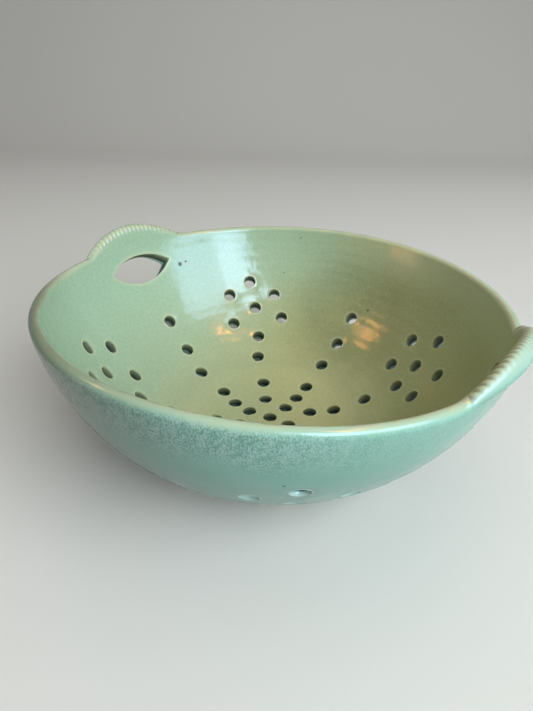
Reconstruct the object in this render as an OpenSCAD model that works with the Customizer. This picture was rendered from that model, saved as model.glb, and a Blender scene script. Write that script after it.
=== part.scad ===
// Berry colander bowl: a wheel-thrown stoneware bowl with drain holes set out as four flowers,
// a foot ring, and two handles, each a raised arch over a finger opening with a notched rope coil.
// Origin at the bottom centre on the table, +Z up, handles on -X (left) and +X (right).

/* [Bowl] */
// Inside radius at the rim
rim_r = 110; // [100:1:120]
// Height of the rim's crest above the table
rim_h = 91; // [86:1:97]
// Wall thickness at the rim
rim_wall = 5.5; // [4.5:0.5:6.5]
// Height of the inside floor above the table
floor_h = 10.7; // [9.7:0.1:12.7]
// Radius of the flat middle of the inside floor
floor_r = 21; // [17:1:25]
// Radius of the inside arc that turns from the floor into the wall
belly_r = 81; // [76:1:86]
// How far that arc turns, in degrees
belly_turn = 44; // [40:1:48]
// Wall thickness where that arc meets the wall's own arc
belly_wall = 8.5; // [7:0.5:9.5]

/* [Foot ring] */
// Outside radius of the foot ring
foot_r = 50; // [48:1:53]
// Width of the foot ring
foot_wall = 6.5; // [5:0.5:8]
// Height of the foot ring
foot_h = 5; // [4:0.5:6]
// Rounding of the foot ring's lower edges
foot_round = 1.5; // [0.5:0.5:2]

/* [Drain holes] */
// Diameter of every drain hole
hole_d = 7.7; // [6:0.1:8.5]
// Distance from the centre hole to the first hole of each straight arm on the floor
arm_first = 13.4; // [12:0.2:15]
// Gap between the last floor hole's edge and the foot ring
foot_clear = 2.2; // [1:0.2:4]
// Spacing of the two floor holes on each diagonal
diagonal_pitch = 14.5; // [11:0.5:16]
// Gap along the inside between the foot's outer edge and the first hole of the wall
wall_clear = 3.35; // [2.35:0.25:5.35]
// Spacing of the wall holes up the wall
wall_pitch = 19.3; // [17:0.1:21]
// How far the two lower side petals lie below a flower's middle, along the wall
low_petal_drop = 12; // [9:0.5:13]
// How far the two lower side petals lie to each side
low_petal_side = 16.4; // [14:0.2:19]
// How far the two upper side petals lie above a flower's middle, along the wall
high_petal_rise = 8.5; // [7:0.5:12]
// How far the two upper side petals lie to each side
high_petal_side = 18.5; // [15:0.5:20]

/* [Handle arches] */
// Width of a raised arch where it stands on the rim
arch_w = 60; // [54:1:66]
// Height of a raised arch above the cut rim
arch_h = 8; // [6:0.5:10]
// Width of the finger opening
grip_w = 44; // [38:1:50]
// How far the finger opening's corners lie below the rim's crest
grip_drop = 13.5; // [13:0.5:17]
// Height of the finger opening above its corners
grip_up = 7; // [5:0.5:8]
// Depth of the finger opening below its corners
grip_down = 10; // [8:0.5:12]

/* [Rope coils] */
// Half angle that a rope coil spans round the rim, in degrees
rope_turn = 20; // [18:0.5:22]
// Width of a coil at its middle
rope_w = 8.5; // [7.5:0.5:10]
// Height of a coil at its middle
rope_h = 6.25; // [5.25:0.25:7.25]
// Width of a coil at its ends
rope_end_w = 6.5; // [6:0.5:7]
// Height of a coil at its ends
rope_end_h = 3.4; // [2.9:0.1:4]
// Notches along each coil
notch_count = 28; // [20:1:30]
// Depth of a notch
notch_depth = 0.7; // [0.3:0.1:1]
// Lean of a notch across the coil, in degrees round the rim
notch_lean = 1.6; // [0:0.2:2]

/* [Hidden] */

glaze = "#9CB89B";
arch_glaze = "#A9C4A4";
rope_glaze = "#C9CDA6";
bare_clay = "#B99E7C";

// Segments in a round turn about the bowl's axis, in a hole, along each arc and over the rim
turn_steps = 128;
hole_steps = 32;
arc_steps = 9;
crest_steps = 8;
// Every cut runs this far past the face that it leaves by
overrun = 2;

// Wall profile, as points of radius and height. A turn is the slope of the wall in degrees:
// 0 on the flat floor and nearly 90 at the rim.
function up_normal(turn) = [-sin(turn), cos(turn)];
// Radius of the arc through a and b whose normal at a is n
function arc_radius(a, b, n) = (b - a) * (b - a) / (2 * (b - a) * n);
function turn_at(centre, p) = atan2(p[0] - centre[0], centre[1] - p[1]);
function arc_points(centre, radius, from, to) =
    [for (k = [0 : arc_steps]) centre - radius * up_normal(from + (to - from) * k / arc_steps)];
function tail(points) = [for (k = [1 : len(points) - 1]) points[k]];
function reversed(points) = [for (k = [len(points) - 1 : -1 : 0]) points[k]];

// Height at which the rim begins to round over. The handles stand on the rim cut flat here.
seat_h = rim_h - rim_wall / 2;
mid_normal = up_normal(belly_turn);
low_centre = [floor_r, floor_h + belly_r];
inner_mid = low_centre - belly_r * mid_normal;
inner_rim = [rim_r, seat_h];
inner_up_r = arc_radius(inner_mid, inner_rim, mid_normal);
inner_up_centre = inner_mid + inner_up_r * mid_normal;
rim_turn = turn_at(inner_up_centre, inner_rim);

outer_mid = inner_mid - belly_wall * mid_normal;
outer_rim = inner_rim + [rim_wall, 0];
outer_foot = [foot_r, foot_h];
outer_up_r = arc_radius(outer_mid, outer_rim, mid_normal);
outer_up_centre = outer_mid + outer_up_r * mid_normal;
outer_low_r = arc_radius(outer_mid, outer_foot, mid_normal);
outer_low_centre = outer_mid + outer_low_r * mid_normal;

inner_line = concat(
    arc_points(low_centre, belly_r, 0, belly_turn),
    tail(arc_points(inner_up_centre, inner_up_r, belly_turn, rim_turn))
);
outer_line = concat(
    arc_points(outer_low_centre, outer_low_r, turn_at(outer_low_centre, outer_foot), belly_turn),
    tail(arc_points(outer_up_centre, outer_up_r, belly_turn, turn_at(outer_up_centre, outer_rim)))
);
crest_line = [
    for (k = [1 : crest_steps - 1])
        inner_rim + rim_wall / 2 * [1 - cos(180 * k / crest_steps), sin(180 * k / crest_steps)]
];

// Places on the inside wall, by the distance from the centre along the inside
mid_run = floor_r + belly_r * belly_turn * PI / 180;
function turn_of_run(run) =
    run <= floor_r ? 0
    : run <= mid_run ? (run - floor_r) / belly_r * 180 / PI
    : belly_turn + (run - mid_run) / inner_up_r * 180 / PI;
function place_of_run(run) =
    run <= floor_r ? [run, floor_h]
    : run <= mid_run ? low_centre - belly_r * up_normal(turn_of_run(run))
    : inner_up_centre - inner_up_r * up_normal(turn_of_run(run));

// Rows of holes: three on each straight arm of the floor, two on each diagonal, then up the wall
arm_last = foot_r - foot_wall - foot_clear - hole_d / 2;
arm_pitch = (arm_last - arm_first) / 2;
wall_first = foot_r + wall_clear + hole_d / 2;
straight_turns = [0, 90, 180, 270];
diagonal_turns = [45, 135, 225, 315];
straight_runs = concat(
    [for (k = [0 : 2]) arm_first + arm_pitch * k],
    [for (k = [0 : 2]) wall_first + wall_pitch * k]
);
diagonal_runs = concat(
    [arm_last - diagonal_pitch, arm_last],
    [for (k = [0 : 3]) wall_first + wall_pitch * k]
);
flower_run = wall_first + 2 * wall_pitch;
// Each side petal as its distance along the inside and its distance to the side
side_petals = [
    [flower_run - low_petal_drop, low_petal_side],
    [flower_run + high_petal_rise, high_petal_side]
];

// The handles stand on the rim, whose wall leans out by this much for each unit of height
lean = 1 / tan(rim_turn);
arch_radius = ((arch_w / 2) ^ 2 + arch_h ^ 2) / (2 * arch_h);
// Height of the rope's seat: the arch's top, or the cut rim past the arch's ends
function seat_at(y) =
    abs(y) < arch_w / 2 ? seat_h + arch_h - arch_radius + sqrt(arch_radius ^ 2 - y ^ 2) : seat_h;
function chord_radius(width, rise) = ((width / 2) ^ 2 + rise ^ 2) / (2 * rise);
handle_reach = rim_r + rim_wall + rope_w + arch_h;

// Rope section, from its outer lower edge over the top to its inner lower edge
rope_sides = 12;
rope_rings_per_notch = 3;
rope_rings = notch_count * rope_rings_per_notch;
section_start = -40;
section_sweep = 180 - 2 * section_start;
// The section is widest at this share of its height
belly_share = 0.4;
// The notches' lean fades out over this share of the coil at each end
fade_share = 0.15;

function section_angle(j) = section_start + section_sweep * j / (rope_sides - 1);
function along(k) = 2 * k / rope_rings - 1;
function swell(k) = cos(90 * along(k)) ^ 2;
function notch_cut(k) =
    k % rope_rings_per_notch == 1 ? notch_depth : 0;
function rope_azimuth(k, j) =
    rope_turn * along(k)
    + notch_lean * (section_angle(j) / 180 - 1 / 2) * min(1, (1 - abs(along(k))) / fade_share);
// Distance out from the wall's inner face, and height above the seat, of point j on ring k
function rope_section(k, j) =
    let (
        w = rope_end_w + (rope_w - rope_end_w) * swell(k),
        h = rope_end_h + (rope_h - rope_end_h) * swell(k),
        a = section_angle(j),
        cut = notch_cut(k) * max(0, sin(a)),
        edge = j == 0 || j == rope_sides - 1
    )
    [
        w / 2 + (w / 2 - cut) * cos(a),
        edge ? 0 : max(0, belly_share * h + (h * (1 - belly_share) - cut) * sin(a))
    ];
function leaned(out, up, azimuth, radius) =
    rim_r + out + lean * (seat_at(radius * sin(azimuth)) + up - seat_h);
function rope_point(k, j) =
    let (
        s = rope_section(k, j),
        azimuth = rope_azimuth(k, j),
        first = leaned(s[0], s[1], azimuth, rim_r + s[0]),
        radius = leaned(s[0], s[1], azimuth, first)
    )
    [radius * cos(azimuth), radius * sin(azimuth), seat_at(radius * sin(azimuth)) + s[1]];

rope_points = [for (k = [0 : rope_rings]) for (j = [0 : rope_sides - 1]) rope_point(k, j)];
function ring_index(k, j) = k * rope_sides + j % rope_sides;
rope_faces = concat(
    [[for (j = [0 : rope_sides - 1]) ring_index(0, j)]],
    [[for (j = [rope_sides - 1 : -1 : 0]) ring_index(rope_rings, j)]],
    [for (k = [0 : rope_rings - 1]) for (j = [0 : rope_sides - 1])
        [ring_index(k, j), ring_index(k + 1, j), ring_index(k, j + 1)]],
    [for (k = [0 : rope_rings - 1]) for (j = [0 : rope_sides - 1])
        [ring_index(k + 1, j), ring_index(k + 1, j + 1), ring_index(k, j + 1)]]
);

// One drain hole, drilled square to the inside wall
module drain_hole(run, azimuth, side = 0) {
    place = place_of_run(run);
    rotate([0, 0, azimuth + side / place[0] * 180 / PI])
        translate([place[0], 0, place[1]])
            rotate([0, -turn_of_run(run), 0])
                cylinder(d = hole_d, h = 4 * belly_wall, center = true, $fn = hole_steps);
}

module drain_holes() {
    translate([0, 0, foot_h - overrun])
        cylinder(d = hole_d, h = floor_h - foot_h + 2 * overrun, $fn = hole_steps);
    for (azimuth = straight_turns, run = straight_runs)
        drain_hole(run, azimuth);
    for (azimuth = diagonal_turns, run = diagonal_runs)
        drain_hole(run, azimuth);
    for (azimuth = diagonal_turns, petal = side_petals, hand = [-1, 1])
        drain_hole(petal[0], azimuth, hand * petal[1]);
}

// Draws its 2D child, in widths along Y and heights along Z, through the wall on +X
module through_wall() {
    rotate([90, 0, 90])
        linear_extrude(height = handle_reach)
            children();
}

// The almond outline of a finger opening: two arcs that meet at its corners
module grip_outline() {
    top_r = chord_radius(grip_w, grip_up);
    low_r = chord_radius(grip_w, grip_down);
    translate([0, rim_h - grip_drop])
        intersection() {
            translate([0, grip_up - top_r])
                circle(r = top_r, $fn = turn_steps);
            translate([0, low_r - grip_down])
                circle(r = low_r, $fn = turn_steps);
        }
}

// The part of the rim that is cut flat for a handle, ending square to the rim
module rim_cut() {
    translate([0, 0, seat_h])
        linear_extrude(height = rim_wall)
            polygon([
                [0, 0],
                [handle_reach, -handle_reach * tan(rope_turn)],
                [handle_reach, handle_reach * tan(rope_turn)]
            ]);
}

module bowl() {
    color(glaze)
        difference() {
            rotate_extrude($fn = turn_steps)
                polygon(concat([[0, floor_h]], inner_line, crest_line, reversed(outer_line), [[0, foot_h]]));
            drain_holes();
            for (side = [0, 180])
                rotate([0, 0, side]) {
                    through_wall()
                        grip_outline();
                    rim_cut();
                }
        }
}

module foot_ring() {
    color(bare_clay)
        rotate_extrude($fn = turn_steps)
            polygon([
                [foot_r, foot_h],
                [foot_r - foot_wall, foot_h],
                [foot_r - foot_wall, foot_round],
                [foot_r - foot_wall + foot_round, 0],
                [foot_r - foot_round, 0],
                [foot_r, foot_round]
            ]);
}

module handle_arch() {
    color(arch_glaze)
        intersection() {
            rotate_extrude($fn = turn_steps)
                translate([rim_r, seat_h])
                    polygon([
                        [0, 0],
                        [rim_wall, 0],
                        [rim_wall + lean * arch_h, arch_h],
                        [lean * arch_h, arch_h]
                    ]);
            through_wall()
                intersection() {
                    translate([0, seat_h + arch_h - arch_radius])
                        circle(r = arch_radius, $fn = turn_steps);
                    translate([-arch_w / 2, seat_h])
                        square([arch_w, arch_h]);
                }
        }
}

module rope_coil() {
    color(rope_glaze)
        polyhedron(points = rope_points, faces = rope_faces, convexity = 6);
}

module handle_arch_left() {
    rotate([0, 0, 180])
        handle_arch();
}

module handle_arch_right() {
    handle_arch();
}

module rope_coil_left() {
    rotate([0, 0, 180])
        rope_coil();
}

module rope_coil_right() {
    rope_coil();
}

bowl();
foot_ring();
handle_arch_left();
handle_arch_right();
rope_coil_left();
rope_coil_right();
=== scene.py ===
from math import atan2, cos, hypot, pi, radians, sin, sqrt

import bmesh
import bpy
import numpy as np
from mathutils import Matrix, Vector


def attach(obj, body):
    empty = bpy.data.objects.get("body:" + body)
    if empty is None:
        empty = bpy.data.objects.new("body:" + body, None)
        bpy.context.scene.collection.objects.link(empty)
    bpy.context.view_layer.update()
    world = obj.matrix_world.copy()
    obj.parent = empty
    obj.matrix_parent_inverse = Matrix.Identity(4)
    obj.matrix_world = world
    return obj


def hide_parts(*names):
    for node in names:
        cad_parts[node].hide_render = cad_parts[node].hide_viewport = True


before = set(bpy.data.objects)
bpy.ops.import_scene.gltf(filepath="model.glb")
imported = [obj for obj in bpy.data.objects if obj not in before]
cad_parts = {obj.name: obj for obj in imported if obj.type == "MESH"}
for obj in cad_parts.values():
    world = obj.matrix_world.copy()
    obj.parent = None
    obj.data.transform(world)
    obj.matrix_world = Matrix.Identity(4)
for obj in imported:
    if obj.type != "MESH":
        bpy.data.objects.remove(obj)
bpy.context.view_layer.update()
bpy.ops.object.select_all(action="DESELECT")

MM = 0.001

# Camera, fitted to the bowl's rim, its outline and its drain holes in the photograph
PHOTO_W, PHOTO_H = 533, 711
FOCAL_PX = 493
SENSOR = 36
CAMERA_TURN = radians(37.45)
CAMERA_OUT = 231.5 * MM
CAMERA_UP = 186.8 * MM
LOOK_TURN = radians(38.19)
LOOK_TILT = radians(59.79)
LOOK_ROLL = radians(1.52)

# Bowl: the inside is a flat floor, an arc up to the belly and a wider arc up to the rim
RIM_R = 110 * MM
RIM_H = 91 * MM
RIM_WALL = 5.5 * MM
FLOOR_H = 10.7 * MM
FLOOR_R = 21 * MM
BELLY_R = 81 * MM
BELLY_TURN = radians(44)
BELLY_WALL = 8.5 * MM
FOOT_R = 50 * MM
FOOT_H = 5 * MM
# The rim is pulled a little oval by its handles, and dips towards them
OVAL = 0.02
RIM_DIP = 1.5 * MM
# Its front, between the handles on -Y's side, stands a little higher than its back
FRONT_UP = 1.4 * MM
FRONT_AZIMUTH = radians(-72)
# The handles are squeezed in a little, over this turn to each side and above this height
PINCH = 1.1 * MM
PINCH_TURN = radians(40)
PINCH_FROM = 30 * MM
# Near the rim the wall's thickness turns from square to the wall to level over this run
LEVEL_RUN = 18 * MM

# Drain holes
HOLE_R = 4 * MM
ARM_FIRST = 13.4 * MM
ARM_LAST = 37.45 * MM
WALL_FIRST = 57.2 * MM
WALL_PITCH = 19.3 * MM
LIP = 0.9 * MM
LIP_ANGLE = radians(50)
LIP_STEPS = 64
# A distance that counts as far from every edge
FAR_OFF = 1.0
# A wet finger has smoothed the wall down towards each hole, by this much and over this width
LIP_DIP = 0.28 * MM
LIP_DIP_W = 1.7 * MM
# The cutter was held from above, so the wall's holes come out lower than they go in
HOLE_SINK = 2.3 * MM
HOLE_SINK_FROM = 45 * MM
HOLE_SINK_FULL = 70 * MM


class Handle:
    """What differs between the two handles, from the far side's arch end to the opening's turn.
    Each handle has a near side, towards -Y, and a far side."""

    def __init__(self, arch_far, arch_up, rope_near, rope_far, rope_far_h, grip_turn):
        self.arch_far = radians(arch_far)
        self.arch_up = arch_up * MM
        self.rope_near = radians(rope_near)
        self.rope_far = radians(rope_far)
        self.rope_far_h = rope_far_h * MM
        self.grip_turn = radians(grip_turn)


LEFT = Handle(
    arch_far=16.9, arch_up=7.9, rope_near=23.5, rope_far=20.3, rope_far_h=3.2, grip_turn=0
)
RIGHT = Handle(
    arch_far=18.4, arch_up=9.2, rope_near=22, rope_far=21, rope_far_h=5, grip_turn=2.7
)
ARCH_NEAR = radians(16.9)
ARCH_FULLNESS = 0.7
# Above the rim the wall stands upright within this run
ARCH_UPRIGHT = 11 * MM
GRIP_W = 44 * MM
GRIP_DROP = 13.5 * MM
GRIP_UP = 7 * MM
GRIP_DOWN = 10.8 * MM
# The knife was held from above and aslant, so the opening comes out lower than it goes in, and
# its far corner comes out nearer to the middle
GRIP_SINK = 3 * MM
GRIP_SLANT = 3.5 * MM

# Rope coils. Each sits on its arch as a D, flush with the wall's inner face. Its near end, towards
# -Y, comes up out of the rim, and its far end is blunt.
ROPE_W = 8 * MM
ROPE_NEAR_W = 4.5 * MM
ROPE_FAR_W = 6.7 * MM
ROPE_H = 6.4 * MM
ROPE_NEAR_H = 2.1 * MM
ROPE_DEEP = 6 * MM
ROPE_INSET = 0.05 * MM
ROPE_NEAR_ROUND = 4 * MM
ROPE_FAR_ROUND = 2.4 * MM
ROPE_SIDES = 32
NOTCHES = 29
NOTCH_RINGS = 10
NOTCH_DEPTH = 0.32 * MM
NOTCH_LEAN = radians(1)

# Foot ring, sunk a little into the bowl's underside
FOOT_RING_W = 6.5 * MM
FOOT_SUNK = 0.8 * MM
FOOT_SEGMENTS = 144
FOOT_SIDES = 24
FOOT_SQUARENESS = 0.6

# Backdrop, in metres
BACKDROP_SIZE = 4
BACKDROP_UP = 2.5
BACKDROP_BEND = 1
BACKDROP_STEPS = 24


def up_normal(turn):
    """Square to a wall of this slope, towards the inside, as radius and height."""
    return Vector((-sin(turn), cos(turn)))


def arc_radius(a, b, normal):
    """Radius of the arc through a and b that is square to normal at a."""
    return (b - a).dot(b - a) / (2 * (b - a).dot(normal))


SEAT_H = RIM_H - RIM_WALL / 2
INNER_RIM = Vector((RIM_R, SEAT_H))
MID_NORMAL = up_normal(BELLY_TURN)
LOW_CENTRE = Vector((FLOOR_R, FLOOR_H + BELLY_R))
INNER_MID = LOW_CENTRE - BELLY_R * MID_NORMAL
UP_R = arc_radius(INNER_MID, INNER_RIM, MID_NORMAL)
UP_CENTRE = INNER_MID + UP_R * MID_NORMAL
RIM_TURN = atan2(RIM_R - UP_CENTRE.x, UP_CENTRE.y - SEAT_H)
OUTER_MID = INNER_MID - BELLY_WALL * MID_NORMAL
OUTER_UP_R = arc_radius(OUTER_MID, INNER_RIM + Vector((RIM_WALL, 0)), MID_NORMAL)
OUTER_LOW_R = arc_radius(OUTER_MID, Vector((FOOT_R, FOOT_H)), MID_NORMAL)
# Distances from the centre along the inside
MID_RUN = FLOOR_R + BELLY_R * BELLY_TURN
RIM_RUN = MID_RUN + UP_R * (RIM_TURN - BELLY_TURN)
GRIP_RUN = RIM_RUN - (GRIP_DROP - RIM_WALL / 2) / sin(RIM_TURN)


def ease(share):
    share = min(max(share, 0), 1)
    return share * share * (3 - 2 * share)


def inside(run):
    """Place on the inside face, as radius and height, and the wall's slope there."""
    if run <= FLOOR_R:
        return Vector((run, FLOOR_H)), 0
    if run <= MID_RUN:
        turn = (run - FLOOR_R) / BELLY_R
        return LOW_CENTRE - BELLY_R * up_normal(turn), turn
    if run <= RIM_RUN:
        turn = BELLY_TURN + (run - MID_RUN) / UP_R
        return UP_CENTRE - UP_R * up_normal(turn), turn
    past = run - RIM_RUN
    aside = cos(RIM_TURN) * (past - past ** 2 / (2 * ARCH_UPRIGHT))
    rise = past * (sin(RIM_TURN) + (1 - sin(RIM_TURN)) * min(1, past / ARCH_UPRIGHT))
    return INNER_RIM + Vector((aside, rise)), RIM_TURN


def outside(run):
    """Place on the outside face, straight through the wall from the inside."""
    place, turn = inside(run)
    if run >= RIM_RUN:
        return place + Vector((RIM_WALL, 0))
    level = ease((run - RIM_RUN + LEVEL_RUN) / LEVEL_RUN)
    way = -up_normal(turn + (pi / 2 - turn) * level)
    underside = place + way * (place.y - FOOT_H) / max(-way.y, cos(BELLY_TURN))
    if underside.x <= FOOT_R:
        return underside
    radius = OUTER_LOW_R if run < MID_RUN else OUTER_UP_R
    away = place - (OUTER_MID + radius * MID_NORMAL)
    reach = -away.dot(way) + sqrt(away.dot(way) ** 2 - away.dot(away) + radius ** 2)
    return place + reach * way


def off_handle(azimuth):
    """Turn from the nearer handle's middle, positive towards its far side."""
    return atan2(sin(azimuth), abs(cos(azimuth)))


def handle_at(azimuth):
    return RIGHT if cos(azimuth) > 0 else LEFT


def arch_lift(azimuth):
    handle = handle_at(azimuth)
    turn = off_handle(azimuth)
    reach = handle.arch_far if turn > 0 else ARCH_NEAR
    if abs(turn) >= reach:
        return 0
    return handle.arch_up * cos(pi / 2 * turn / reach) ** ARCH_FULLNESS


def rounded(place, azimuth):
    """A place of radius and height turned to its azimuth, on the slightly oval bowl."""
    share = min(max(place.y / RIM_H, 0), 1)
    swing = cos(2 * azimuth)
    radius = place.x * (1 + OVAL * share ** 1.5 * swing)
    front = max(0, cos(azimuth - FRONT_AZIMUTH)) ** 2
    height = place.y + (FRONT_UP * front - RIM_DIP * swing) * share ** 2
    turn = min(1, abs(off_handle(azimuth)) / PINCH_TURN)
    up = max(0, height - PINCH_FROM) / (SEAT_H - PINCH_FROM)
    radius -= PINCH * cos(pi / 2 * turn) ** 2 * up ** 1.5
    return Vector((radius * cos(azimuth), radius * sin(azimuth), height))


# The bowl is drawn flat first, as a round map whose distance from the centre is the run along
# the inside. Rows of the map fall at and between the rings of drain holes.
FLOOR_STEP = (ARM_LAST - ARM_FIRST) / 10
WALL_STEP = WALL_PITCH / 7
TOP_ROWS = 11
CREST_ROWS = 4
CREST_STEP = 1 * MM
CELL = radians(1.875)
COARSE_CELL = 2 * CELL
FINE_RUN = ARM_LAST - 2 * FLOOR_STEP
LAYER = 10 * MM
EASINGS = 40
MERGE = 0.01 * MM


def map_rows():
    floor_rows = [ARM_FIRST + FLOOR_STEP * k for k in range(-2, 13)]
    wall_rows = [WALL_FIRST + WALL_STEP * k for k in range(-2, 24)]
    between = [floor_rows[-1] + (wall_rows[0] - floor_rows[-1]) * k / 4 for k in (1, 2, 3)]
    top_step = (RIM_RUN - wall_rows[-1]) / TOP_ROWS
    top_rows = [wall_rows[-1] + top_step * k for k in range(1, TOP_ROWS + 1)]
    crest_rows = [RIM_RUN + CREST_STEP * k for k in range(1, CREST_ROWS + 1)]
    first = [HOLE_R, (HOLE_R + floor_rows[0]) / 2]
    return first + floor_rows + between + wall_rows + top_rows + crest_rows


ROWS = map_rows()


def nearest_row(run):
    return min(range(len(ROWS)), key=lambda row: abs(ROWS[row] - run))


class Cutout:
    """A patch of the map's cells that becomes a hole: its middle row, its rows below and above
    that, its middle column, its columns to each side, and its cells' width."""

    def __init__(self, run, azimuth, rows, columns):
        self.run = run
        self.azimuth = azimuth
        self.down, self.up = rows
        self.side = columns
        # The patch keeps to one side of the row where the cells' width changes
        if run > FINE_RUN:
            self.cell = CELL
            self.row = max(nearest_row(run), nearest_row(FINE_RUN) + self.down)
        else:
            self.cell = COARSE_CELL
            self.row = min(nearest_row(run), nearest_row(FINE_RUN) - 1 - self.up)
        self.column = round(azimuth / self.cell)

    def offsets(self, place):
        """A map place as columns and rows from the patch's middle."""
        azimuth = atan2(place.y, place.x) - self.column * self.cell
        columns = atan2(sin(azimuth), cos(azimuth)) / self.cell
        rows = np.interp(hypot(place.x, place.y), ROWS, range(len(ROWS))) - self.row
        return columns, rows

    def holds(self, place):
        columns, rows = self.offsets(place)
        return abs(columns) < self.side + 0.1 and -self.down - 0.1 < rows < self.up + 0.1

    def share(self, place):
        """How far round the patch's edge a place lies: 0 to 1 over the top from the right-hand
        side's middle to the left's, and 0 to -1 round the bottom."""
        columns, rows = (round(v) for v in self.offsets(place))
        height = self.up if rows >= 0 else self.down
        across = self.side - columns
        along = abs(rows) + across
        if columns == -self.side:
            along = 2 * height + 2 * self.side - abs(rows)
        share = along / (2 * height + 2 * self.side)
        return share if rows >= 0 else -share

    def to_map(self, aside, up):
        """The map place that lies aside and up the wall from the hole's own middle."""
        run = self.run + up
        azimuth = self.azimuth + aside / inside(self.run)[0].x
        return run * cos(azimuth), run * sin(azimuth)


class DrainHole(Cutout):
    def __init__(self, run, azimuth, columns, rows=(2, 2)):
        super().__init__(run, azimuth, rows, columns)

    def edge(self, share):
        return self.to_map(HOLE_R * cos(pi * share), HOLE_R * sin(pi * share))


class FingerOpening(Cutout):
    """An almond: an arc over the top and a deeper one below, meeting at two corners."""

    def __init__(self, azimuth):
        super().__init__(GRIP_RUN, azimuth, (3, 2), 6)

    def edge(self, share):
        rise = GRIP_UP if share >= 0 else GRIP_DOWN
        radius = ((GRIP_W / 2) ** 2 + rise ** 2) / (2 * rise)
        half = atan2(GRIP_W / 2, radius - rise)
        turn = half * (1 - 2 * abs(share))
        up = radius * cos(turn) - (radius - rise)
        x, y = self.to_map(radius * sin(turn), 0)
        azimuth = atan2(y, x)
        if share < 0:
            run = self.run - up
        else:
            # The arch stretches the wall above the corners, so the map's place is nearer to them
            run = self.run + up / (1 + arch_lift(azimuth) / (RIM_RUN - self.run))
        return run * cos(azimuth), run * sin(azimuth)


# Hand-cut holes stray from the even pattern, which is a round of eight arms. Each floor hole is
# its distance from the centre, its azimuth, its patch's columns to each side, and its patch's
# rows below and above.
FLOOR_HOLES = (
    (12.3, 6.1, 6, (2, 2)), (25.4, 0, 3, (2, 2)), (37.45, 0, 4, (2, 2)),
    (24.3, 52.1, 3, (2, 2)), (38.3, 47.6, 4, (2, 2)),
    (13.3, 84.2, 6, (2, 2)), (25.4, 89, 3, (2, 2)), (37.8, 91.1, 4, (2, 2)),
    (18.2, 137.5, 3, (2, 2)), (34.9, 135.6, 4, (2, 2)),
    (13.2, 194.1, 6, (2, 2)), (24.8, 186.1, 3, (2, 2)), (36.7, 179.9, 4, (2, 2)),
    (19, 238.6, 3, (2, 1)), (31.2, 225.5, 3, (2, 1)),
    (13.4, 274, 4, (2, 2)), (25.4, 270, 3, (2, 2)), (37.45, 270, 4, (2, 2)),
    (22.95, 315, 3, (2, 2)), (37.45, 315, 4, (2, 2)),
)
# Each wall hole is its distance up the wall and its turn from the middle of its column
STRAIGHT_COLUMNS = {
    0: ((57.2, 0), (76.5, 0), (95.8, 0)),
    90: ((58.5, 2.4), (77, 1), (96.6, 0)),
    180: ((57.2, 0), (75.4, -2.5), (97, -2.2)),
    270: ((57.2, 0), (76.5, 0), (95.8, 0)),
}
FLOWERS = {
    45: (
        (57.6, 2.6), (77.4, -0.5), (93, 2), (111.4, 2.5),
        (83.2, 12.7), (83.2, -12.6), (102, 13.4), (100.8, -10.8),
    ),
    135: (
        (57.8, 2), (73.6, 0.4), (94.7, 1.1), (113.4, 2.8),
        (84.5, 12.6), (87.8, -11.6), (105, 12), (103.9, -7.6),
    ),
    225: (
        (57.2, 0), (76.3, 0), (99, 0), (114.9, -3),
        (83.8, 12.1), (83.8, -11), (106.6, 8.8), (104.4, -13.4),
    ),
    315: (
        (57.2, 0), (76.5, 0), (98, -1), (117.3, -1),
        (83.8, 12.1), (83.8, -12.1), (106.8, 11.7), (108, -11.7),
    ),
}


def drain_holes():
    holes = []
    for run, turn, wide, rows in FLOOR_HOLES:
        holes.append(DrainHole(run * MM, radians(turn), wide, rows))
    for columns in (STRAIGHT_COLUMNS, FLOWERS):
        for turn, places in columns.items():
            for run, slip in places:
                wide = 3 if run < 60 else 2
                holes.append(DrainHole(run * MM, radians(turn + slip), wide))
    return holes


def edit_mesh(piece):
    bpy.ops.object.select_all(action="DESELECT")
    bpy.context.view_layer.objects.active = piece
    piece.select_set(True)
    bpy.ops.object.mode_set(mode="EDIT")
    return bmesh.from_edit_mesh(piece.data)


def object_mode():
    bpy.ops.object.mode_set(mode="OBJECT")


def draw_map():
    """Rings of cells drawn out from the centre hole, with twice as many cells further out."""
    bpy.ops.mesh.primitive_circle_add(vertices=round(2 * pi / COARSE_CELL), radius=HOLE_R)
    bowl = bpy.context.object
    bowl.name = "bowl_body"
    edit_mesh(bowl)
    bpy.ops.mesh.select_all(action="SELECT")
    for near, far in zip(ROWS, ROWS[1:]):
        bpy.ops.mesh.extrude_region_move()
        grow = far / near
        bpy.ops.transform.resize(value=(grow, grow, 1), center_override=(0, 0, 0))
        if near < FINE_RUN - FLOOR_STEP / 2 <= far:
            bpy.ops.mesh.subdivide(number_cuts=1)
            mesh = bmesh.from_edit_mesh(bowl.data)
            for v in mesh.verts:
                if v.select:
                    v.co *= far / v.co.length
    return bowl


def select_only(mesh, chosen):
    """Selects these faces or vertices of a mesh in edit mode and nothing else."""
    bpy.ops.mesh.select_all(action="DESELECT")
    for part in chosen:
        part.select = True
    mesh.select_flush_mode()


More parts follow.
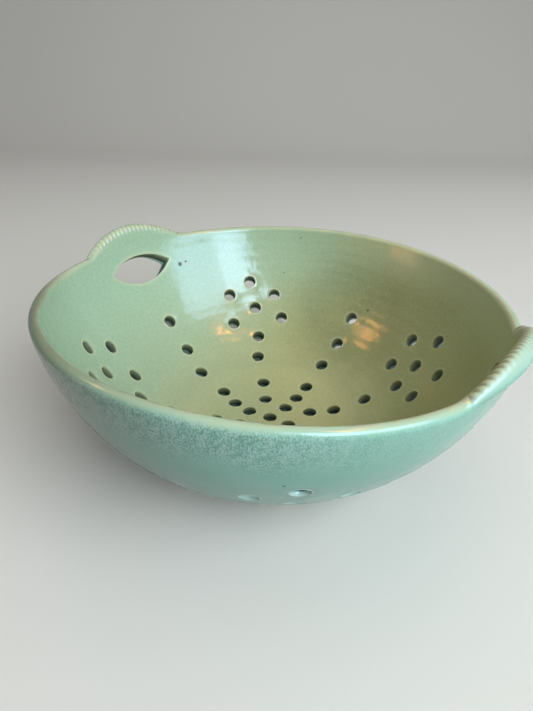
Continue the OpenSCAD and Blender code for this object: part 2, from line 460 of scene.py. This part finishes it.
def cut_holes(bowl, cutouts):
    """Takes each cutout's cells away and draws its edge to the hole's outline. The cells around
    then ease into place."""
    bpy.ops.mesh.select_mode(type="FACE")
    mesh = bmesh.from_edit_mesh(bowl.data)
    doomed = []
    for face in mesh.faces:
        middle = face.calc_center_median()
        if any(cutout.holds(middle) for cutout in cutouts):
            doomed.append(face)
    select_only(mesh, doomed)
    bpy.ops.mesh.delete(type="FACE")
    bpy.ops.mesh.select_mode(type="VERT")
    mesh = bmesh.from_edit_mesh(bowl.data)
    fixed = set()
    for v in mesh.verts:
        run = hypot(v.co.x, v.co.y)
        if run > RIM_RUN - CREST_STEP / 2:
            fixed.add(v)
        elif v.is_boundary:
            fixed.add(v)
            for cutout in cutouts:
                if cutout.holds(v.co):
                    v.co.x, v.co.y = cutout.edge(cutout.share(v.co))
                    break
    select_only(mesh, [v for v in mesh.verts if v not in fixed])
    bpy.ops.mesh.vertices_smooth(factor=0.5, repeat=EASINGS)


def slipped(run, azimuth):
    """Where a cut that goes in here comes out, as a run and an azimuth of the outside."""
    if run >= RIM_RUN:
        return run, azimuth
    handle = handle_at(azimuth)
    aside = (off_handle(azimuth) - handle.grip_turn) * RIM_R / (GRIP_W / 2)
    up = (run - GRIP_RUN) / (GRIP_UP if run > GRIP_RUN else GRIP_DOWN)
    to_rim = ease((RIM_RUN - run) / (RIM_RUN - GRIP_RUN - GRIP_UP))
    near_grip = ease(2 - hypot(aside, up)) * to_rim
    slant = GRIP_SLANT / RIM_R * near_grip * ease(aside)
    near_holes = ease((run - HOLE_SINK_FROM) / (HOLE_SINK_FULL - HOLE_SINK_FROM)) * to_rim
    sink = max(GRIP_SINK * near_grip, HOLE_SINK * near_holes)
    return run - sink, azimuth - slant * (1 if handle is RIGHT else -1)


def climb(run, azimuth):
    """The run up the wall for a run on the flat map, which an arch stretches above its corners."""
    stretch = max(0, (run - GRIP_RUN) / (RIM_RUN - GRIP_RUN))
    return run + arch_lift(azimuth) * stretch


def through(run, azimuth):
    """Places on the inside and the outside face for a run and an azimuth of the flat map."""
    high = climb(run, azimuth)
    low, slanted = slipped(high, azimuth)
    return rounded(inside(high)[0], azimuth), rounded(outside(low), slanted)


def fold_up(bowl):
    """Gives the flat map its second face and folds both up into the bowl's wall."""
    bpy.ops.mesh.select_all(action="SELECT")
    bpy.ops.mesh.extrude_region_move(TRANSFORM_OT_translate={"value": (0, 0, -LAYER)})
    object_mode()
    below_rim = bowl.data.attributes.new("below_rim", "FLOAT", "POINT")
    outer = bowl.data.attributes.new("outer", "FLOAT", "POINT")
    for v in bowl.data.vertices:
        azimuth = atan2(v.co.y, v.co.x)
        run = hypot(v.co.x, v.co.y)
        below_rim.data[v.index].value = RIM_RUN - run
        side = 1 if v.co.z < -LAYER / 2 else -1
        outer.data[v.index].value = (side + 1) / 2
        if run < RIM_RUN + CREST_STEP / 2:
            v.co = through(min(run, RIM_RUN), azimuth)[(side + 1) // 2]
        else:
            angle = pi / 2 * (run - RIM_RUN) / (CREST_ROWS * CREST_STEP)
            edge = inside(climb(RIM_RUN, azimuth))[0]
            over = Vector((1 + side * cos(angle), sin(angle)))
            v.co = rounded(edge + RIM_WALL / 2 * over, azimuth)


def vertex_table(mesh, name):
    """The mesh's vertices' places or normals as rows of three."""
    values = np.empty(3 * len(mesh.vertices))
    mesh.vertices.foreach_get(name, values)
    return values.reshape(-1, 3)


def finish_mouths(bowl, holes, openings):
    """Smooths the wall down towards the drain holes and keeps how close each place on the bowl is
    to an edge, for the glaze."""
    places = vertex_table(bowl.data, "co")
    normals = vertex_table(bowl.data, "normal")
    nearest = np.full(len(places), FAR_OFF)
    dip = np.zeros(len(places))
    for hole in holes + [DrainHole(0, 0, 1)]:
        near, far = (np.array(end) for end in through(hole.run, hole.azimuth))
        axis = (far - near) / np.linalg.norm(far - near)
        away = places - near
        along = away @ axis
        aside = np.linalg.norm(away - np.outer(along, axis), axis=1) - HOLE_R
        aside[np.abs(along) > 2 * BELLY_WALL] = FAR_OFF
        nearest = np.minimum(nearest, aside)
        close = np.exp(-(np.maximum(aside, 0) / LIP_DIP_W) ** 2)
        dip = np.maximum(dip, close * np.abs(normals @ axis))
    places -= LIP_DIP * dip[:, None] * normals
    bowl.data.vertices.foreach_set("co", places.ravel())
    bowl.data.update()
    for opening in openings:
        for share in np.linspace(-1, 1, LIP_STEPS):
            x, y = opening.edge(share)
            for edge in through(hypot(x, y), atan2(y, x)):
                away = np.linalg.norm(places - np.array(edge), axis=1) - LIP / 2
                nearest = np.minimum(nearest, away)
    mouth = np.exp(-(np.maximum(nearest, 0) / LIP) ** 2)
    bowl.data.attributes.new("mouth", "FLOAT", "POINT").data.foreach_set("value", mouth)


def build_bowl():
    holes = drain_holes()
    openings = [FingerOpening(RIGHT.grip_turn), FingerOpening(pi - LEFT.grip_turn)]
    bowl = draw_map()
    cut_holes(bowl, holes + openings)
    fold_up(bowl)
    edit_mesh(bowl)
    bpy.ops.mesh.select_all(action="SELECT")
    bpy.ops.mesh.remove_doubles(threshold=MERGE)
    bpy.ops.mesh.normals_make_consistent(inside=False)
    object_mode()
    bevel = bowl.modifiers.new("lips", "BEVEL")
    bevel.width = LIP
    bevel.segments = 2
    bevel.limit_method = "ANGLE"
    bevel.angle_limit = LIP_ANGLE
    bpy.ops.object.modifier_apply(modifier=bevel.name)
    smooth = bowl.modifiers.new("smooth", "SUBSURF")
    smooth.levels = 1
    smooth.render_levels = 1
    bpy.ops.object.modifier_apply(modifier=smooth.name)
    bpy.ops.object.shade_smooth()
    finish_mouths(bowl, holes, openings)
    return bowl


def rope_place(along, angle, handle):
    """A place on a coil's surface: along it from -1 at its near end to 1 at its far end, and round
    its section from its outer side over its top to its inner side."""
    sweep = handle.rope_near + handle.rope_far
    turn = sweep * (along + 1) / 2 - handle.rope_near
    to_end = RIM_R * sweep * (1 - abs(along)) / 2
    swell = cos(pi / 2 * along) ** 2
    end_w, end_h, end_round = ROPE_NEAR_W, ROPE_NEAR_H, ROPE_NEAR_ROUND
    if along > 0:
        end_w, end_h, end_round = ROPE_FAR_W, handle.rope_far_h, ROPE_FAR_ROUND
    width = end_w + (ROPE_W - end_w) * swell
    height = end_h + (ROPE_H - end_h) * swell
    blunt = sqrt(1 - (1 - min(1, to_end / end_round)) ** 2)
    inset = max(ROPE_INSET, (RIM_WALL - width) / 2)
    out = inset + width / 2 * (1 + blunt * cos(angle))
    up = (height if angle < pi else ROPE_DEEP) * blunt * sin(angle)
    # The notches are pressed in across the top and fade out down both sides
    wave = (1 + cos(2 * pi * NOTCHES * (along + 1) / 2)) / 2
    over_top = ease((sin(angle) - 0.2) / 0.5) * ease(1.7 * (1 - out / width))
    fade = ease(to_end / ROPE_NEAR_ROUND)
    cut = NOTCH_DEPTH * wave ** 1.5 * over_top * fade
    out -= cut * cos(angle)
    up -= cut * sin(angle)
    azimuth = turn if handle is RIGHT else pi - turn
    seat = inside(RIM_RUN + arch_lift(azimuth) + up)[0]
    azimuth += NOTCH_LEAN * (0.5 - angle / pi) * max(0, sin(angle))
    return rounded(seat + Vector((out, 0)), azimuth), cut / NOTCH_DEPTH


def build_rope(name, handle):
    """A ball drawn out along the rim, from pole to pole."""
    bpy.ops.mesh.primitive_uv_sphere_add(
        segments=ROPE_SIDES, ring_count=NOTCH_RINGS * NOTCHES, radius=1
    )
    rope = bpy.context.object
    rope.name = name
    groove = rope.data.attributes.new("groove", "FLOAT", "POINT")
    outer = rope.data.attributes.new("outer", "FLOAT", "POINT")
    top = rope.data.attributes.new("top", "FLOAT", "POINT")
    for v in rope.data.vertices:
        along = 1 - 2 * atan2(hypot(v.co.x, v.co.y), v.co.z) / pi
        angle = atan2(v.co.y, v.co.x) % (2 * pi)
        v.co, cut = rope_place(along, angle, handle)
        groove.data[v.index].value = cut
        outer.data[v.index].value = (1 + cos(angle)) / 2
        top.data[v.index].value = max(0, sin(angle))
    edit_mesh(rope)
    bpy.ops.mesh.select_all(action="SELECT")
    bpy.ops.mesh.normals_make_consistent(inside=False)
    object_mode()
    bpy.ops.object.shade_smooth()
    return rope


def build_foot_ring():
    """A ring of rounded rectangular section."""
    half_w = FOOT_RING_W / 2
    half_h = (FOOT_H + FOOT_SUNK) / 2
    middle_r = FOOT_R - half_w
    bpy.ops.mesh.primitive_torus_add(
        major_segments=FOOT_SEGMENTS,
        minor_segments=FOOT_SIDES,
        major_radius=middle_r,
        minor_radius=half_w,
    )
    ring = bpy.context.object
    ring.name = "turned_foot"
    for v in ring.data.vertices:
        azimuth = atan2(v.co.y, v.co.x)
        out = (hypot(v.co.x, v.co.y) - middle_r) / half_w
        up = v.co.z / half_w
        square = max(abs(out), abs(up))
        soften = hypot(out, up) / square
        grow = 1 + (soften - 1) * FOOT_SQUARENESS
        radius = middle_r + half_w * min(1, max(-1, out * grow))
        height = half_h * (1 + min(1, max(-1, up * grow)))
        v.co = (radius * cos(azimuth), radius * sin(azimuth), height)
    bpy.ops.object.shade_smooth()
    return ring


class Value:
    """A socket that a node gives out. Sums on it add Math nodes."""

    def __init__(self, material, socket):
        self.material = material
        self.socket = socket

    def math(self, operation, *values):
        settings = {"operation": operation}
        return self.material.node("ShaderNodeMath", settings, dict(enumerate(values)))

    def __add__(self, other):
        return self.math("ADD", self, other)

    def __sub__(self, other):
        return self.math("SUBTRACT", self, other)

    def __mul__(self, other):
        return self.math("MULTIPLY", self, other)

    def __truediv__(self, other):
        return self.math("DIVIDE", self, other)

    def __rsub__(self, other):
        return self.math("SUBTRACT", other, self)

    __radd__ = __add__
    __rmul__ = __mul__

    def over(self, other):
        return self.math("MAXIMUM", self, other)


class Material:
    """A material with one Principled shader, whose nodes are added one by one."""

    def __init__(self, name):
        self.made = bpy.data.materials.new(name)
        self.made.use_nodes = True
        self.tree = self.made.node_tree
        self.shader = self.tree.nodes["Principled BSDF"]

    def fill(self, node, sockets):
        for key, value in sockets.items():
            if isinstance(value, Value):
                self.tree.links.new(value.socket, node.inputs[key])
            else:
                node.inputs[key].default_value = value

    def node(self, kind, settings, sockets, output=0):
        """Adds a node with its settings and its sockets' values or links."""
        node = self.tree.nodes.new(kind)
        for key, value in settings.items():
            setattr(node, key, value)
        self.fill(node, sockets)
        return Value(self, node.outputs[output])

    def place(self):
        return self.node("ShaderNodeTexCoord", {}, {}, "Object")

    def kept(self, name):
        return self.node("ShaderNodeAttribute", {"attribute_name": name}, {}, "Fac")

    def mix(self, share, first, second):
        sockets = {0: share, 6: first, 7: second}
        return self.node("ShaderNodeMix", {"data_type": "RGBA"}, sockets, 2)

    def noise(self, place, size, detail=2):
        """Cloudy noise, 0 to 1, whose clouds are about this size."""
        sockets = {"Vector": place, "Scale": 1 / size, "Detail": detail}
        return self.node("ShaderNodeTexNoise", {}, sockets, "Fac")

    def rise(self, value, start, end):
        """0 where a value is at start or before and 1 at end or past it, eased."""
        sockets = {"Value": value, "From Min": start, "From Max": end}
        return self.node("ShaderNodeMapRange", {"interpolation_type": "SMOOTHSTEP"}, sockets)

    def fall(self, value, start, end):
        """1 where a value is at start or before and 0 at end or past it, eased."""
        return 1 - self.rise(value, start, end)

    def stretched(self, place, scale):
        return self.node("ShaderNodeMapping", {}, {"Vector": place, "Scale": scale})

    def specks(self, place, spacing, radius, share):
        """Round specks, one at most in each cell of this spacing, in this share of the cells."""
        settings = {"feature": "F1"}
        sockets = {"Vector": place, "Scale": 1 / spacing}
        distance = self.node("ShaderNodeTexVoronoi", settings, sockets, "Distance")
        colour = self.node("ShaderNodeTexVoronoi", settings, sockets, "Color")
        chance = self.node("ShaderNodeSeparateColor", {}, {"Color": colour}, "Red")
        size = radius / spacing
        chosen = self.rise(chance, 1 - share, 1.001 - share)
        return self.fall(distance, 0.5 * size, 1.2 * size) * chosen

    def spot(self, place, middle, radius):
        """1 within a small ball round this middle and 0 outside it."""
        sockets = {0: place, 1: [part * MM for part in middle]}
        distance = self.node("ShaderNodeVectorMath", {"operation": "DISTANCE"}, sockets, "Value")
        return self.fall(distance, 0.5 * radius, 1.1 * radius)

    def bump(self, height, depth):
        return self.node("ShaderNodeBump", {}, {"Height": height, "Distance": depth})

    def shade(self, **sockets):
        self.fill(self.shader, {key.replace("_", " "): value for key, value in sockets.items()})


def paint(red, green, blue):
    """A colour as the shaders take it, from parts of 255 as a screen shows it."""
    parts = []
    for part in (red, green, blue):
        part /= 255
        parts.append(part / 12.92 if part < 0.04045 else ((part + 0.055) / 1.055) ** 2.4)
    return (*parts, 1)


CELADON = paint(159, 188, 162)
OLIVE = paint(181, 181, 128)
STRAW = paint(206, 202, 148)
SEA_GREEN = paint(141, 204, 185)
CREAM = paint(210, 212, 174)
CRYSTAL = paint(196, 224, 220)
DEEP_GREEN = paint(88, 126, 116)
# Colours of a hole's own wall: pooled glaze with painted shade, then painted shade alone
POOLED_AND_SHADE = paint(122, 130, 102)
BORE_SHADE = paint(30, 36, 28)
# A darker olive for painted shade
SHADE_OLIVE = paint(92, 96, 66)
IRON = paint(58, 52, 36)
NOTCH_BROWN = paint(134, 124, 88)
BARE_CLAY = paint(168, 138, 106)

# Middle of a broad patch of painted shade on the inside wall, in millimetres
SHADE_PATCH = (0, 86, 46)
# Iron specks and pinholes in the glaze, each its place and its radius, in millimetres
SPECKS = (
    ((-101.6, 27.8, 72), 1.7),
    ((-100.7, 32.2, 72.9), 0.9),
    ((9.1, 90.4, 50.4), 1),
    ((-50.9, 95.1, 85.4), 0.6),
    ((-54.8, 82.3, 62.4), 0.6),
    ((69.6, -81.7, 62.2), 0.9),
)


def part_of(material, place, axis):
    return material.node("ShaderNodeSeparateXYZ", {}, {"Vector": place}, axis)


def across(material, place):
    """How far a place lies from the bowl's lit left side towards its shaded right side, in metres
    from the middle. That way runs between +X and +Y."""
    right = part_of(material, place, "X") * cos(LOOK_TURN)
    return right + part_of(material, place, "Y") * sin(LOOK_TURN)


def inner_glaze(material, clouds):
    """Celadon that turns olive towards the right-hand side and straw on the floor, softly mottled.
    The olive is partly the glaze's tone and partly painted shade; the straw is partly the glaze's
    tone and partly painted light towards the right."""
    place = material.place()
    height = part_of(material, place, "Z")
    to_right = across(material, place)
    low = material.fall(height + clouds * (20 * MM), 30 * MM, 90 * MM)
    # The olive towards the right is partly the glaze's tone and partly painted shade, strongest on
    # the far right
    aside = material.rise(to_right + clouds * (30 * MM), -70 * MM, 90 * MM)
    shaded_far_right = material.rise(to_right, 30 * MM, 90 * MM)
    olive = aside * (low * 0.75 + 0.35) + low * 0.25 + shaded_far_right * 0.65
    colour = material.mix(olive, CELADON, OLIVE)
    # The straw on the floor grows towards the right as painted light
    floor = material.fall(height + clouds * (12 * MM), 18 * MM, 36 * MM)
    straw_and_light = material.rise(to_right, -15 * MM, 35 * MM) * 0.6 + 0.35
    colour = material.mix(floor * straw_and_light, colour, STRAW)
    # A broad patch of painted shade on the inside wall
    shadow = material.spot(place, SHADE_PATCH, 50 * MM)
    colour = material.mix(shadow * (clouds + 0.5) * 0.24, colour, SHADE_OLIVE)
    # On its far right the glaze is painted paler under the rim, as a painted reflection that takes
    # back some of the painted shade there
    under_rim = material.rise(height, 64 * MM, 90 * MM)
    colour = material.mix(shaded_far_right * under_rim * 0.7, colour, CREAM)
    mottle = material.noise(place, 1.5 * MM, 3)
    colour = material.mix(material.rise(mottle, 0.45, 0.75) * 0.14, colour, CRYSTAL)
    colour = material.mix(material.fall(mottle, 0.25, 0.5) * 0.1, colour, DEEP_GREEN)
    # The glaze pools in the soft corner where the floor turns up into the wall
    corner = material.rise(height, 13.5 * MM, 17 * MM) * material.fall(height, 17 * MM, 23 * MM)
    return material.mix(corner * 0.1, colour, DEEP_GREEN)


def outer_glaze(material, clouds, below_rim):
    """Sea green, with a band of fine pale crystals below the rim that thins out to the right."""
    place = material.place()
    to_right = part_of(material, place, "X")
    drops = material.stretched(place, (1, 1, 0.55))
    fine = material.noise(drops, 0.55 * MM, 2)
    clumps = material.noise(drops, 2.6 * MM, 2)
    ragged = below_rim + clouds * (12 * MM) + clumps * (6 * MM)
    band = material.rise(below_rim + fine * (2 * MM), -2 * MM, 0.5 * MM)
    band = band * material.fall(ragged, 14 * MM, 27 * MM)
    band = band * (1 - material.rise(to_right, 60 * MM, 105 * MM) * 0.75)
    grain = fine * 0.7 + clumps * 0.3
    sea = material.mix(material.rise(clouds, 0.4, 0.7) * 0.12, SEA_GREEN, CRYSTAL)
    sea = material.mix(band * material.fall(grain, 0.38, 0.52) * 0.5, sea, DEEP_GREEN)
    return material.mix(band * material.rise(grain, 0.46, 0.62) * 0.75, sea, CRYSTAL)


def add_glaze(material, outer, below_rim):
    """The glaze's colour without its breaks over edges, and then its clouds and its iron."""
    place = material.place()
    clouds = material.noise(place, 22 * MM)
    inner = inner_glaze(material, clouds)
    sea = outer_glaze(material, clouds, below_rim)
    colour = material.mix(material.rise(outer, 0.3, 0.7), inner, sea)
    iron = material.specks(place, 19 * MM, 0.5 * MM, 0.12)
    for middle, radius in SPECKS:
        iron = iron.over(material.spot(place, middle, radius * MM))
    return material.mix(iron * 0.9, colour, IRON), clouds, iron


def throwing_rings(material, below_rim):
    """Faint rings that the potter's fingers left, with the glaze's own fine waviness."""
    place = material.place()
    warp = material.noise(place, 60 * MM)
    phase = below_rim / (1.1 * MM) + warp * 9
    rings = phase.math("SINE", phase)
    height = rings * (warp * 0.35)
    height = height + material.noise(place, 7 * MM) * 1.4
    return height + material.noise(place, 22 * MM) * 3


def celadon_glaze():
    """The bowl's glaze, which breaks paler over its rim and lips, with painted shade on the walls
    in its holes.
    """
    material = Material("celadon glaze")
    outer = material.kept("outer")
    below_rim = material.kept("below_rim")
    mouth = material.kept("mouth")
    colour, clouds, iron = add_glaze(material, outer, below_rim)
    crest = material.fall(below_rim + clouds * (3 * MM), -2 * MM, 1.5 * MM)
    colour = material.mix(crest * 0.6, colour, CREAM)
    # Towards the left of the front the outside and the rim are painted a darker olive, as painted
    # shade
    place = material.place()
    left = material.fall(across(material, place), -110 * MM, -10 * MM)
    left = left * material.fall(part_of(material, place, "Y"), -85 * MM, -45 * MM)
    rim_and_outside = crest.over(material.rise(outer, 0.3, 0.7))
    colour = material.mix(left * rim_and_outside * 0.7, colour, SHADE_OLIVE)
    # Above the underside, the outside lips are as pale as the crystals, partly the glaze's break
    # and partly a painted highlight
    on_wall = material.rise(part_of(material, place, "Z"), 6 * MM, 9 * MM)
    colour = material.mix(mouth * material.fall(outer, 0, 0.04) * 0.4, colour, CREAM)
    colour = material.mix(mouth * material.rise(outer, 0.85, 1) * on_wall * 0.7, colour, CRYSTAL)
    # A drain hole's and an opening's own wall is painted dark as shade, darkest towards the
    # outside. Near the inside that colour is partly pooled glaze.
    bore = material.rise(outer, 0, 0.05) * (1 - on_wall * material.rise(outer, 0.8, 0.95))
    bore = bore * (1 - crest)
    dark = material.mix(material.rise(outer, 0.2, 0.65), POOLED_AND_SHADE, BORE_SHADE)
    colour = material.mix(bore * material.fall(outer, 0.96, 0.99) * 0.9, colour, dark)
    rings = throwing_rings(material, below_rim) * (1 - outer * 0.5)
    material.shade(
        Base_Color=colour,
        Roughness=material.noise(place, 9 * MM) * 0.1 + bore.over(iron) * 0.35 + 0.12,
        Normal=material.bump(rings, 0.13 * MM),
    )
    return material.made


def rope_glaze():
    """The glaze breaks to cream over the coil's top and pools brownish in its notches. Its outer
    side is as pale as the crystals."""
    material = Material("cream break glaze")
    outer = material.kept("outer")
    groove = material.kept("groove")
    top = material.kept("top")
    colour, clouds, _ = add_glaze(material, outer, 30 * MM + top * 0)
    colour = material.mix(material.rise(top + clouds * 0.3, 0.35, 1) * 0.45, colour, CREAM)
    pale = material.rise(outer, 0.45, 0.8) * material.rise(top, 0, 0.3)
    colour = material.mix(pale * 0.25, colour, CRYSTAL)
    # The notches are browner on the bowl's darker side
    to_right = part_of(material, material.place(), "X")
    browner = material.rise(to_right, -90 * MM, 90 * MM) * 0.35 + 0.2
    brown = groove * material.fall(outer, 0.35, 0.75) + groove * 0.15
    colour = material.mix(material.rise(brown, 0, 0.9) * browner, colour, NOTCH_BROWN)
    material.shade(
        Base_Color=colour,
        Roughness=0.25,
        Normal=material.bump(material.noise(material.place(), 4 * MM), 0.1 * MM),
    )
    return material.made


def bare_stoneware():
    material = Material("bare stoneware")
    place = material.place()
    grain = material.noise(place, 0.8 * MM, 4)
    colour = material.mix(material.rise(grain, 0.3, 0.7) * 0.4, BARE_CLAY, CREAM)
    colour = material.mix(material.specks(place, 5 * MM, 0.4 * MM, 0.4) * 0.7, colour, IRON)
    material.shade(Base_Color=colour, Roughness=0.85, Normal=material.bump(grain, 0.1 * MM))
    return material.made


def add_camera():
    bpy.ops.object.camera_add()
    camera = bpy.context.object
    place = Matrix.Translation(
        (CAMERA_OUT * sin(CAMERA_TURN), -CAMERA_OUT * cos(CAMERA_TURN), CAMERA_UP)
    )
    turn = Matrix.Rotation(LOOK_TURN, 4, "Z") @ Matrix.Rotation(LOOK_TILT, 4, "X")
    camera.matrix_world = place @ turn @ Matrix.Rotation(LOOK_ROLL, 4, "Z")
    camera.data.sensor_width = SENSOR
    camera.data.lens = FOCAL_PX * SENSOR / max(PHOTO_W, PHOTO_H)
    camera.data.clip_start = 0.01
    bpy.context.scene.camera = camera


def soft_light(name, azimuth, elevation, away, size, power, colour):
    """An oblong light of this width and height, at this turn and height from the bowl."""
    way = Vector((cos(azimuth) * cos(elevation), sin(azimuth) * cos(elevation), sin(elevation)))
    bpy.ops.object.light_add(type="AREA", location=away * way + Vector((0, 0, RIM_H / 2)))
    light = bpy.context.object
    light.name = name
    light.rotation_euler = (-way).to_track_quat("-Z", "Y").to_euler()
    light.data.shape = "RECTANGLE"
    light.data.size, light.data.size_y = size
    light.data.energy = power
    light.data.color = colour
    return light


def seen_light(*light):
    """A light that only shows in the glaze, as a reflection."""
    soft_light(*light).visible_diffuse = False


def toward_eye(material):
    """Whether a ray comes from the camera, by way of a mirror or glass as well."""
    rays = ("Is Camera Ray", "Is Glossy Ray", "Is Transmission Ray")
    camera, glossy, clear = (material.node("ShaderNodeLightPath", {}, {}, ray) for ray in rays)
    return camera.over(glossy).over(clear)


def build_backdrop():
    """A pale floor that sweeps up behind the bowl, seen from the camera."""
    bpy.ops.mesh.primitive_plane_add(size=BACKDROP_SIZE, rotation=(0, 0, LOOK_TURN))
    backdrop = bpy.context.object
    backdrop.name = "floor"
    bpy.ops.object.transform_apply(location=False, rotation=True, scale=False)
    mesh = edit_mesh(backdrop)
    away = Vector((-sin(LOOK_TURN), cos(LOOK_TURN), 0))
    bpy.ops.mesh.select_mode(type="EDGE")
    select_only(mesh, [max(mesh.edges, key=lambda e: (e.verts[0].co + e.verts[1].co).dot(away))])
    bpy.ops.mesh.extrude_region_move(TRANSFORM_OT_translate={"value": (0, 0, BACKDROP_UP)})
    mesh = bmesh.from_edit_mesh(backdrop.data)
    select_only(mesh, [e for e in mesh.edges if len(e.link_faces) == 2])
    bpy.ops.mesh.bevel(offset=BACKDROP_BEND, segments=BACKDROP_STEPS)
    object_mode()
    bpy.ops.object.shade_smooth()
    return backdrop


def pale_floor():
    """Pale to the eye, and dim in the light that it throws up at the bowl."""
    material = Material("pale floor")
    colour = material.mix(toward_eye(material), paint(92, 88, 82), paint(232, 230, 226))
    material.shade(Base_Color=colour, Roughness=1)
    return material.made


add_camera()
bowl = build_bowl()
bowl.data.materials.append(celadon_glaze())
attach(bowl, "root")
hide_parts("bowl", "handle_arch_left", "handle_arch_right")
rope_cream = rope_glaze()
for side, handle in (("left", LEFT), ("right", RIGHT)):
    rope = build_rope("notched_rope_" + side, handle)
    rope.data.materials.append(rope_cream)
    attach(rope, "root")
    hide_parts("rope_coil_" + side)
ring = build_foot_ring()
ring.data.materials.append(bare_stoneware())
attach(ring, "root")
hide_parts("foot_ring")

key = soft_light("daylight", radians(-10), radians(34), 1.6, (1.35, 1.35), 30, (0.92, 0.98, 1))
key.visible_glossy = False
overhead = soft_light("room_light", radians(120), radians(80), 1.6, (1.2, 1.2), 4, (1, 0.95, 0.86))
overhead.visible_glossy = False
seen_light("window", radians(-9), radians(36), 1.6, (1.5, 1.1), 38, (0.42, 0.66, 1))
seen_light("window_pane", radians(-27), radians(34), 1.55, (0.55, 0.95), 10, (0.55, 0.78, 1))
seen_light("ceiling_lamp", radians(11), radians(66), 1.4, (0.22, 0.18), 4.2, (1, 0.3, 0.04))
seen_light("room_lamp", radians(-148), radians(42.5), 1.4, (0.26, 0.24), 2.2, (1, 0.4, 0.1))
seen_light("far_lamp", radians(-133), radians(7.5), 1.6, (0.42, 0.08), 0.9, (1, 0.5, 0.18))

backdrop = build_backdrop()
backdrop.data.materials.append(pale_floor())

world = bpy.data.worlds.new("studio")
world.use_nodes = True
background = world.node_tree.nodes["Background"]
background.inputs["Color"].default_value = (0.6, 0.59, 0.56, 1)
background.inputs["Strength"].default_value = 0.35
bpy.context.scene.world = world
bpy.context.scene.view_settings.view_transform = "Standard"
